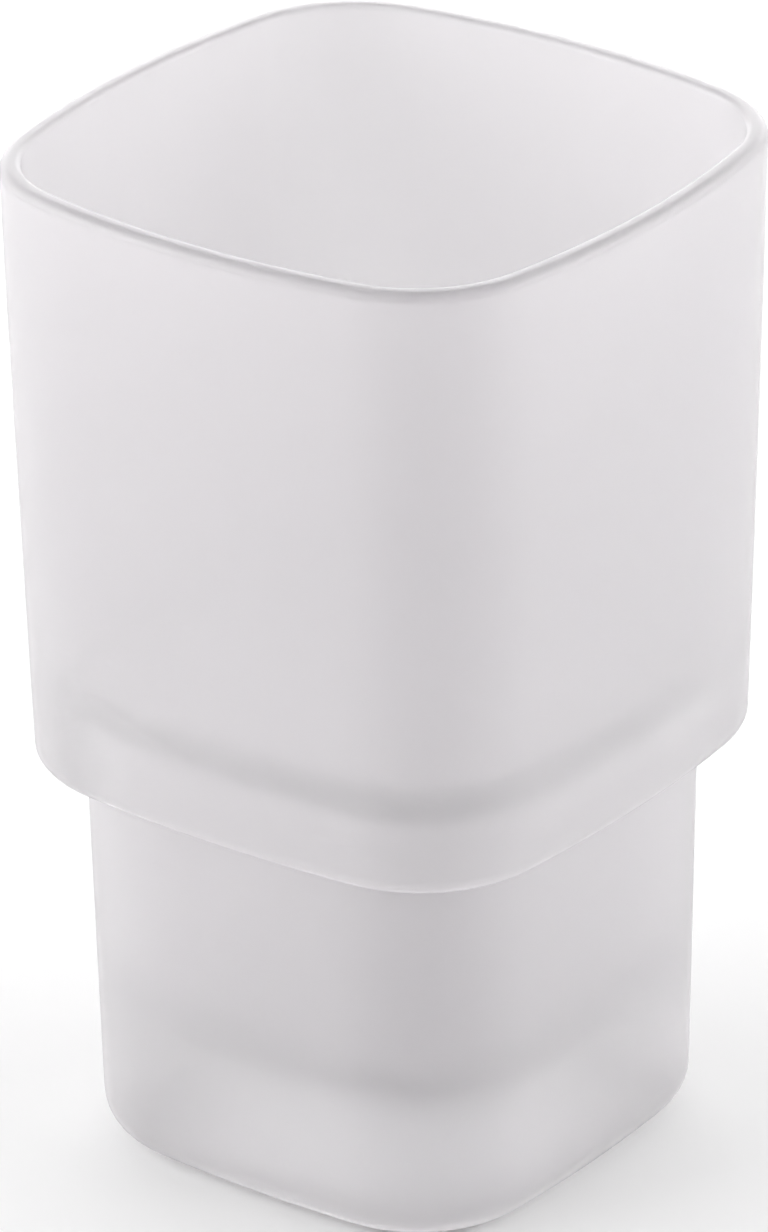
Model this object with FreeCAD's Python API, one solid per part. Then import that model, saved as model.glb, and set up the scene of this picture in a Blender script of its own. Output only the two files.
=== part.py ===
import FreeCAD, Part
import math
import os

# A bathroom tumbler, moulded as one piece of pressed glass. It is a square cup with rounded
# corners and gently bowed sides. At the shoulder the wide upper body steps in to a narrower
# lower body, so that the tumbler drops into a square holder ring and hangs on the shoulder.
# Millimetres, +Z up. The origin is the middle of the underside, in the plane it stands on.
# A width is taken across the middles of two opposite sides.

# Outside of the upper body
height = 115.0
rim_width = 70.0
rim_corner_radius = 16.0
rim_side_radius = 110.0
shoulder_height = 45.0
shoulder_ledge = 4.1
shoulder_corner_radius = 14.5
shoulder_side_radius = 160.0
shoulder_edge_radius = 2.5

# Outside of the lower body
neck_width = 57.0
neck_corner_radius = 15.5
neck_side_radius = 180.0
neck_root_radius = 1.0
base_width = 55.5
base_corner_radius = 15.4
base_side_radius = 178.0
base_edge_radius = 4.7

# Glass thickness of the walls and rounding of the rim
rim_wall = 2.3
rim_outer_radius = 1.1
rim_inner_radius = 0.7
upper_wall = 3.2
neck_wall = 4.4
floor_wall = 4.6
floor_thickness = 13.5
floor_edge_radius = 9.5

# Slope inside, where the cavity narrows from the upper to the lower body
slope_top_rise = 11.5
slope_height = 4.5
slope_hollow_radius = 3.5
slope_crown_radius = 2.5

# Shallow recess under the base, which leaves a flat ring to stand on
recess_inset = 10.0
recess_depth = 0.8
recess_edge_radius = 0.6
recess_mouth_radius = 0.3

# How closely an edge has to follow an outline to be taken as lying on it
match_tolerance = 0.02


class Outline:
    """A square with four bowed sides and four round corners, all tangent, at one level."""

    def __init__(self, width, side_radius, corner_radius, level):
        self.half_width = width / 2
        self.side_radius = side_radius
        self.corner_radius = corner_radius
        self.level = level

    def inset(self, thickness, level):
        """The outline that runs inside this one at an even distance, moved to another level."""
        return Outline(
            2 * (self.half_width - thickness),
            self.side_radius - thickness,
            self.corner_radius - thickness,
            level,
        )

    def towards(self, other, level):
        """The outline between this one and another, at a level between theirs."""
        share = (level - self.level) / (other.level - self.level)

        def between(name):
            return getattr(self, name) + share * (getattr(other, name) - getattr(self, name))

        return Outline(2 * between("half_width"), between("side_radius"), between("corner_radius"), level)

    def wire(self):
        """Eight tangent arcs: a side and then a corner, four times round."""
        side_centre = self.half_width - self.side_radius
        span = self.side_radius - self.corner_radius
        corner_centre = (side_centre + math.sqrt(2 * span**2 - side_centre**2)) / 2
        side_angle = math.atan2(corner_centre, corner_centre - side_centre)
        quarter_turn = math.pi / 2
        arcs = []
        for quarter in range(4):
            turn = quarter * quarter_turn

            def point(centre_x, centre_y, radius, angle):
                x = centre_x + radius * math.cos(angle)
                y = centre_y + radius * math.sin(angle)
                return FreeCAD.Vector(
                    x * math.cos(turn) - y * math.sin(turn),
                    x * math.sin(turn) + y * math.cos(turn),
                    self.level,
                )

            side = [
                point(side_centre, 0, self.side_radius, angle)
                for angle in (-side_angle, 0, side_angle)
            ]
            corner = [
                point(corner_centre, corner_centre, self.corner_radius, angle)
                for angle in (side_angle, quarter_turn / 2, quarter_turn - side_angle)
            ]
            arcs.append(Part.Arc(*side).toShape())
            arcs.append(Part.Arc(*corner).toShape())
        return Part.Wire(arcs)


def solid_between(*outlines):
    """A closed solid with straight walls from each outline to the next."""
    solids = [
        Part.makeLoft([lower.wire(), upper.wire()], True, True)
        for lower, upper in zip(outlines, outlines[1:])
    ]
    return solids[0].multiFuse(solids[1:]) if len(solids) > 1 else solids[0]


def rounded(solid, outline, radius):
    """The solid with the loop of edges that lies on an outline rounded off."""
    wire = outline.wire()

    def on_outline(edge):
        first, last = edge.ParameterRange
        points = [edge.valueAt(first + part * (last - first) / 4) for part in range(5)]
        return all(wire.distToShape(Part.Vertex(p))[0] < match_tolerance for p in points)

    return solid.makeFillet(radius, [edge for edge in solid.Edges if on_outline(edge)])


def outer_body(rim, shoulder, neck, base):
    """The tumbler as if it were solid, with the shoulder, its root and the base edge rounded."""
    upper = rounded(solid_between(shoulder, rim), shoulder, shoulder_edge_radius)
    lower = rounded(solid_between(base, neck), base, base_edge_radius)
    return rounded(upper.fuse(lower), neck, neck_root_radius)


def cavity(mouth, slope_top, slope_bottom, floor):
    """The space inside the tumbler: a wide and a narrow part with a smooth slope between."""
    space = solid_between(floor, slope_bottom, slope_top, mouth)
    space = rounded(space, slope_top, slope_hollow_radius)
    space = rounded(space, slope_bottom, slope_crown_radius)
    return rounded(space, floor, floor_edge_radius)


def base_recess(base, recess_mouth):
    """The shallow hollow under the base, up from its mouth."""
    ceiling = base.inset(recess_inset, base.level + recess_depth)
    return rounded(solid_between(recess_mouth, ceiling), ceiling, recess_edge_radius)


def tumbler_glass():
    rim = Outline(rim_width, rim_side_radius, rim_corner_radius, height)
    shoulder_width = neck_width + 2 * shoulder_ledge
    shoulder = Outline(shoulder_width, shoulder_side_radius, shoulder_corner_radius, shoulder_height)
    neck = Outline(neck_width, neck_side_radius, neck_corner_radius, shoulder_height)
    base = Outline(base_width, base_side_radius, base_corner_radius, 0)

    slope_top_level = shoulder_height + slope_top_rise
    mouth = rim.inset(rim_wall, height)
    slope_top = shoulder.towards(rim, slope_top_level).inset(upper_wall, slope_top_level)
    slope_bottom = neck.inset(neck_wall, slope_top_level - slope_height)
    floor = base.towards(neck, floor_thickness).inset(floor_wall, floor_thickness)

    glass = outer_body(rim, shoulder, neck, base)
    glass = glass.cut(cavity(mouth, slope_top, slope_bottom, floor))
    recess_mouth = base.inset(recess_inset, base.level)
    glass = glass.cut(base_recess(base, recess_mouth))
    glass = rounded(glass, recess_mouth, recess_mouth_radius)
    glass = rounded(glass, rim, rim_outer_radius)
    return rounded(glass, mouth, rim_inner_radius)


os.makedirs("parts", exist_ok=True)
glass = tumbler_glass()
print("tumbler_glass", glass.isValid(), len(glass.Solids), round(glass.Volume))
glass.exportStep("parts/tumbler_glass.step")
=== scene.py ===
import math

import bpy
import numpy as np
from mathutils import Euler, Matrix, Vector


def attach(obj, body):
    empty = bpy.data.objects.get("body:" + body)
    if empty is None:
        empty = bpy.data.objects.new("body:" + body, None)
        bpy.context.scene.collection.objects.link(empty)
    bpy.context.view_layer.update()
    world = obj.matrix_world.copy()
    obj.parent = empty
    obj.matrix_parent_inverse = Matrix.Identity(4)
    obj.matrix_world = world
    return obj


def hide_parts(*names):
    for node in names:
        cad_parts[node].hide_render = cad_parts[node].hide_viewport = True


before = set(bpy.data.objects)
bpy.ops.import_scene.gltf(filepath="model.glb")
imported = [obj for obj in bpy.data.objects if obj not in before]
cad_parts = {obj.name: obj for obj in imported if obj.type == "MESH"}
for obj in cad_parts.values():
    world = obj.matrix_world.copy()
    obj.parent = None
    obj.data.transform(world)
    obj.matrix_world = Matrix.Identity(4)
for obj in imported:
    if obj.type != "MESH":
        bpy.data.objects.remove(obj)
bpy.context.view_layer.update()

# Outside of the tumbler, in metres. A width is taken across the middles of two opposite sides.
height = 0.115
rim_width = 0.070
rim_corner_radius = 0.016
rim_side_radius = 0.110
shoulder_height = 0.045
shoulder_width = 0.0652
shoulder_corner_radius = 0.0145
shoulder_side_radius = 0.160
shoulder_edge_radius = 0.0025
neck_width = 0.057
neck_corner_radius = 0.0155
neck_side_radius = 0.180
neck_root_radius = 0.001
base_width = 0.0555
base_corner_radius = 0.0154
base_side_radius = 0.178
base_edge_radius = 0.0047

# Glass thickness of the walls and rounding of the rim
rim_wall = 0.0023
rim_outer_radius = 0.0011
rim_inner_radius = 0.0007
upper_wall = 0.0032
neck_wall = 0.0044
floor_wall = 0.0046
floor_thickness = 0.0135
floor_edge_radius = 0.0095

# Slope inside, where the cavity narrows from the upper to the lower body
slope_top_rise = 0.0115
slope_height = 0.0045
slope_hollow_radius = 0.0035
slope_crown_radius = 0.0025

# Shallow recess under the base, which leaves a flat ring to stand on
recess_inset = 0.010
recess_depth = 0.0008
recess_edge_radius = 0.0006
recess_mouth_radius = 0.0003

# How finely the glass is meshed
side_steps = 24
corner_steps = 20
round_steps = 10
row_height = 0.002

# Where the flat of the inner floor and of the recess begins, in rounding radii from its edge
floor_reach_share = 1.05
recess_reach_share = 2

# Each of these flats is closed by rings that shrink towards a small cap in its middle
cap_share = 0.05
cap_rings = 12

# The rim has its own finish, on the faces that lie wholly above this depth
rim_finish_depth = 0.0012

# Roughness of the etched outside, the smoother inside and the rim
etched_roughness = 0.5
inside_roughness = 0.3
rim_roughness = 0.42

# How much light goes through the surface instead of being scattered back, in the same order
etched_clearness = 0.67
inside_clearness = 0.76
rim_clearness = 0.8

# Fine unevenness of the etching: how far the roughness strays, and patches in a metre
etching_stray = 0.015
etching_patches = 400
etching_detail = 3

# The glass itself
glass_tint = (0.90, 0.882, 0.898, 1)
glass_index = 1.5
absorption_colour = (0.5, 0.5, 0.5, 1)
absorption_density = 8

# The studio, in metres
studio_floor_reach = 6.0
studio_floor_colour = (0.94, 0.94, 0.94, 1)
studio_floor_roughness = 0.9
surrounding_colour = (1, 1, 1, 1)
surrounding_strength = 0.2
softbox_distance = 1.2

# The camera stands where the photograph was taken from, in a frame of 768 by 1232 pixels
camera_azimuth = math.radians(37.11)
camera_elevation = math.radians(25.76)
camera_roll = math.radians(-0.8)
camera_distance = 0.9842
camera_slide = (-0.00079, 0.00199)
camera_view_end = 50
focal_pixels = 9155.4
frame_height_pixels = 1232
sensor_millimetres = 36


class Outline:
    """A square with four bowed sides and four round corners, all tangent, at one level."""

    def __init__(self, half_width, level, side_radius, corner_radius):
        self.values = np.array([half_width, level, side_radius, corner_radius], float)

    def inset(self, thickness, level):
        """The outline that runs inside this one at an even distance, moved to another level."""
        half_width, _, side_radius, corner_radius = self.values
        return Outline(half_width - thickness, level, side_radius - thickness, corner_radius - thickness)

    def towards(self, other, level):
        """The outline between this one and another, at a level between theirs."""
        share = (level - self.values[1]) / (other.values[1] - self.values[1])
        return Outline(*(self.values + share * (other.values - self.values)))

    def shrunk(self, share):
        """The same outline drawn smaller, at the same level."""
        return Outline(*(self.values * (share, 1, share, share)))

    def ring(self):
        """Points once round the outline, with the same count on every side and every corner."""
        half_width, level, side_radius, corner_radius = self.values
        side_centre = half_width - side_radius
        span = side_radius - corner_radius
        corner_centre = (side_centre + math.sqrt(2 * span**2 - side_centre**2)) / 2
        side_angle = math.atan2(corner_centre, corner_centre - side_centre)
        corner_end = math.pi / 2 - side_angle
        side_angles = np.linspace(-side_angle, side_angle, side_steps, endpoint=False)
        corner_angles = np.linspace(side_angle, corner_end, corner_steps, endpoint=False)
        x = np.r_[
            side_centre + side_radius * np.cos(side_angles),
            corner_centre + corner_radius * np.cos(corner_angles),
        ]
        y = np.r_[
            side_radius * np.sin(side_angles),
            corner_centre + corner_radius * np.sin(corner_angles),
        ]
        quarters = [(x, y), (-y, x), (-x, -y), (y, -x)]
        xy = np.hstack([np.array(quarter) for quarter in quarters])
        return np.vstack([xy, np.full(xy.shape[1], level)]).T


def rounded_rows(corners):
    """Rows of outlines from the first corner to the last, with each corner between rounded off.

    Half width and level, the first two values of an outline, are its place in the wall's section.
    """
    rows = [corners[0][0].values]
    for (before, _), (corner, radius), (after, _) in zip(corners, corners[1:], corners[2:]):
        back = before.values - corner.values
        ahead = after.values - corner.values
        back = back / np.linalg.norm(back[:2])
        ahead = ahead / np.linalg.norm(ahead[:2])
        angle = math.acos(float(back[:2] @ ahead[:2]))
        reach = radius / math.sin(angle)
        sweep = math.pi - angle
        turns = np.linspace(-sweep / 2, sweep / 2, round_steps + 1)
        middle = (back + ahead) / np.linalg.norm(back[:2] + ahead[:2])
        across = (ahead - back) / np.linalg.norm(ahead[:2] - back[:2])
        centre = corner.values + reach * (back + ahead)
        for turn in turns:
            rows.append(centre + radius * (math.sin(turn) * across - math.cos(turn) * middle))
    rows.append(corners[-1][0].values)
    return rows


def filled_rows(rows):
    """The same rows with more between, where two neighbours lie far apart."""
    filled = [rows[0]]
    for last, following in zip(rows, rows[1:]):
        count = max(1, math.ceil(np.linalg.norm((following - last)[:2]) / row_height))
        filled += [last + (step + 1) / count * (following - last) for step in range(count)]
    return filled


def tumbler_rows():
    """The skin of the glass from the middle of the underside, up the outside and down the inside."""
    rim = Outline(rim_width / 2, height, rim_side_radius, rim_corner_radius)
    shoulder = Outline(
        shoulder_width / 2, shoulder_height, shoulder_side_radius, shoulder_corner_radius
    )
    neck = Outline(neck_width / 2, shoulder_height, neck_side_radius, neck_corner_radius)
    base = Outline(base_width / 2, 0, base_side_radius, base_corner_radius)
    recess_mouth = base.inset(recess_inset, 0)
    recess_edge = base.inset(recess_inset, recess_depth)
    recess_reach = recess_reach_share * recess_edge_radius
    recess_ceiling = base.inset(recess_inset + recess_reach, recess_depth)
    slope_top_level = shoulder_height + slope_top_rise
    mouth = rim.inset(rim_wall, height)
    slope_top = shoulder.towards(rim, slope_top_level).inset(upper_wall, slope_top_level)
    slope_bottom = neck.inset(neck_wall, slope_top_level - slope_height)
    floor_edge = base.towards(neck, floor_thickness).inset(floor_wall, floor_thickness)
    floor = floor_edge.inset(floor_reach_share * floor_edge_radius, floor_thickness)
    corners = [
        (recess_ceiling, 0),
        (recess_edge, recess_edge_radius),
        (recess_mouth, recess_mouth_radius),
        (base, base_edge_radius),
        (neck, neck_root_radius),
        (shoulder, shoulder_edge_radius),
        (rim, rim_outer_radius),
        (mouth, rim_inner_radius),
        (slope_top, slope_hollow_radius),
        (slope_bottom, slope_crown_radius),
        (floor_edge, floor_edge_radius),
        (floor, 0),
    ]
    rows = filled_rows(rounded_rows(corners))
    shares = np.linspace(cap_share, 1, cap_rings, endpoint=False)
    underside = [recess_ceiling.shrunk(share).values for share in shares]
    bottom = [floor.shrunk(share).values for share in shares[::-1]]
    return underside + rows + bottom


def store_finish(mesh, rows, count):
    """Store with each face how rough and how clear it is, for rows with so many faces each."""
    levels = np.array([values[1] for values in rows])
    lower_levels = np.minimum(levels[:-1], levels[1:])
    outside = np.arange(len(lower_levels)) < levels.argmax()
    at_rim = lower_levels > height - rim_finish_depth
    for name, on_outside, on_inside, on_rim in (
        ("roughness", etched_roughness, inside_roughness, rim_roughness),
        ("clearness", etched_clearness, inside_clearness, rim_clearness),
    ):
        values = np.where(at_rim, on_rim, np.where(outside, on_outside, on_inside))
        per_face = np.r_[np.repeat(values, count), values[0], values[-1]]
        attribute = mesh.attributes.new(name, "FLOAT", "FACE")
        attribute.data.foreach_set("value", per_face.astype(np.float32))


def tumbler_mesh():
    """One closed skin of quads, with a small cap in the middle of the underside and of the floor."""
    rows = tumbler_rows()
    rings = [Outline(*values).ring() for values in rows]
    count = len(rings[0])
    faces = []
    for row in range(len(rings) - 1):
        for column in range(count):
            following = (column + 1) % count
            faces.append((
                row * count + column,
                row * count + following,
                (row + 1) * count + following,
                (row + 1) * count + column,
            ))
    last = (len(rings) - 1) * count
    faces.append(tuple(reversed(range(count))))
    faces.append(tuple(range(last, last + count)))
    mesh = bpy.data.meshes.new("tumbler")
    mesh.from_pydata(np.vstack(rings).tolist(), [], faces)
    mesh.shade_smooth()
    mesh.validate()
    store_finish(mesh, rows, count)
    return mesh


def material(name):
    """A new material with one principled shader."""
    made = bpy.data.materials.new(name)
    made.use_nodes = True
    nodes = made.node_tree.nodes
    nodes.clear()
    shader = nodes.new("ShaderNodeBsdfPrincipled")
    output = nodes.new("ShaderNodeOutputMaterial")
    made.node_tree.links.new(shader.outputs["BSDF"], output.inputs["Surface"])
    return made, shader


def noise(tree, scale, detail):
    """Noise in the object's own metres: scale is how many patches fit in a metre."""
    place = tree.nodes.new("ShaderNodeTexCoord")
    texture = tree.nodes.new("ShaderNodeTexNoise")
    texture.inputs["Scale"].default_value = scale
    texture.inputs["Detail"].default_value = detail
    tree.links.new(place.outputs["Object"], texture.inputs["Vector"])
    return texture.outputs["Fac"]


def ranged(tree, source, low, high):
    """A value between 0 and 1 spread over another range."""
    spread = tree.nodes.new("ShaderNodeMapRange")
    spread.inputs["To Min"].default_value = low
    spread.inputs["To Max"].default_value = high
    tree.links.new(source, spread.inputs["Value"])
    return spread.outputs["Result"]


def face_value(tree, name):
    """A number that is stored with each face of the mesh."""
    stored = tree.nodes.new("ShaderNodeAttribute")
    stored.attribute_name = name
    return stored.outputs["Fac"]


def absorb(tree, colour, density):
    """Light fades along its way through the glass, so that thick glass is darker than thin."""
    volume = tree.nodes.new("ShaderNodeVolumeAbsorption")
    volume.inputs["Color"].default_value = colour
    volume.inputs["Density"].default_value = density
    output = next(node for node in tree.nodes if node.type == "OUTPUT_MATERIAL")
    tree.links.new(volume.outputs["Volume"], output.inputs["Volume"])


def frosted_glass():
    """Satin glass, roughest outside and smoothest inside, with the rim between the two."""
    made, shader = material("satin_glass")
    tree = made.node_tree
    shader.inputs["Base Color"].default_value = glass_tint
    shader.inputs["IOR"].default_value = glass_index
    tree.links.new(face_value(tree, "clearness"), shader.inputs["Transmission Weight"])
    uneven = tree.nodes.new("ShaderNodeMath")
    uneven.operation = "ADD"
    tree.links.new(face_value(tree, "roughness"), uneven.inputs[0])
    patches = noise(tree, etching_patches, etching_detail)
    tree.links.new(ranged(tree, patches, -etching_stray, etching_stray), uneven.inputs[1])
    tree.links.new(uneven.outputs["Value"], shader.inputs["Roughness"])
    absorb(tree, absorption_colour, absorption_density)
    return made


def tumbler():
    piece = bpy.data.objects.new("tumbler", tumbler_mesh())
    bpy.context.scene.collection.objects.link(piece)
    piece.data.materials.append(frosted_glass())
    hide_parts("tumbler_glass")
    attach(piece, "root")


def softbox(name, turn, rise, size, power):
    """A large soft light, turned so far to the right of the camera and raised so far, in degrees."""
    azimuth = camera_azimuth + math.radians(turn)
    level = math.radians(rise)
    away = Vector((
        math.sin(azimuth) * math.cos(level),
        -math.cos(azimuth) * math.cos(level),
        math.sin(level),
    ))
    lamp = bpy.data.lights.new(name, "AREA")
    lamp.shape = "RECTANGLE"
    lamp.size, lamp.size_y = size
    lamp.energy = power
    holder = bpy.data.objects.new(name, lamp)
    holder.location = Vector((0, 0, height / 2)) + softbox_distance * away
    holder.rotation_euler = away.to_track_quat("Z", "Y").to_euler()
    bpy.context.scene.collection.objects.link(holder)


def studio():
    """A pale floor, four softboxes and a weak white surrounding light."""
    signs = ((-1, -1), (1, -1), (1, 1), (-1, 1))
    corners = [(x * studio_floor_reach, y * studio_floor_reach, 0) for x, y in signs]
    floor_mesh = bpy.data.meshes.new("floor")
    floor_mesh.from_pydata(corners, [], [(0, 1, 2, 3)])
    floor = bpy.data.objects.new("floor", floor_mesh)
    bpy.context.scene.collection.objects.link(floor)
    made, shader = material("pale_floor")
    shader.inputs["Base Color"].default_value = studio_floor_colour
    shader.inputs["Roughness"].default_value = studio_floor_roughness
    floor_mesh.materials.append(made)

    world = bpy.data.worlds.new("studio")
    world.use_nodes = True
    background = world.node_tree.nodes["Background"]
    background.inputs["Color"].default_value = surrounding_colour
    background.inputs["Strength"].default_value = surrounding_strength
    bpy.context.scene.world = world
    softbox("left_softbox", turn=270, rise=18, size=(1.6, 0.8), power=17.2)
    softbox("right_softbox", turn=90, rise=18, size=(1.6, 0.8), power=14.3)
    softbox("back_softbox", turn=180, rise=16, size=(1.8, 0.6), power=13.5)
    softbox("front_softbox", turn=0, rise=50, size=(1.4, 0.8), power=2.6)


def camera():
    lens = bpy.data.cameras.new("camera")
    lens.sensor_width = sensor_millimetres
    lens.lens = focal_pixels * lens.sensor_width / frame_height_pixels
    lens.clip_end = camera_view_end
    aim = Euler((math.pi / 2 - camera_elevation, 0, camera_azimuth)).to_matrix()
    turn = aim @ Matrix.Rotation(camera_roll, 3, "Z")
    holder = bpy.data.objects.new("camera", lens)
    place = Vector((0, 0, height / 2)) + turn @ Vector((*camera_slide, camera_distance))
    holder.matrix_world = Matrix.Translation(place) @ turn.to_4x4()
    bpy.context.scene.collection.objects.link(holder)
    bpy.context.scene.camera = holder


tumbler()
studio()
camera()
bpy.context.scene.view_settings.view_transform = "Standard"
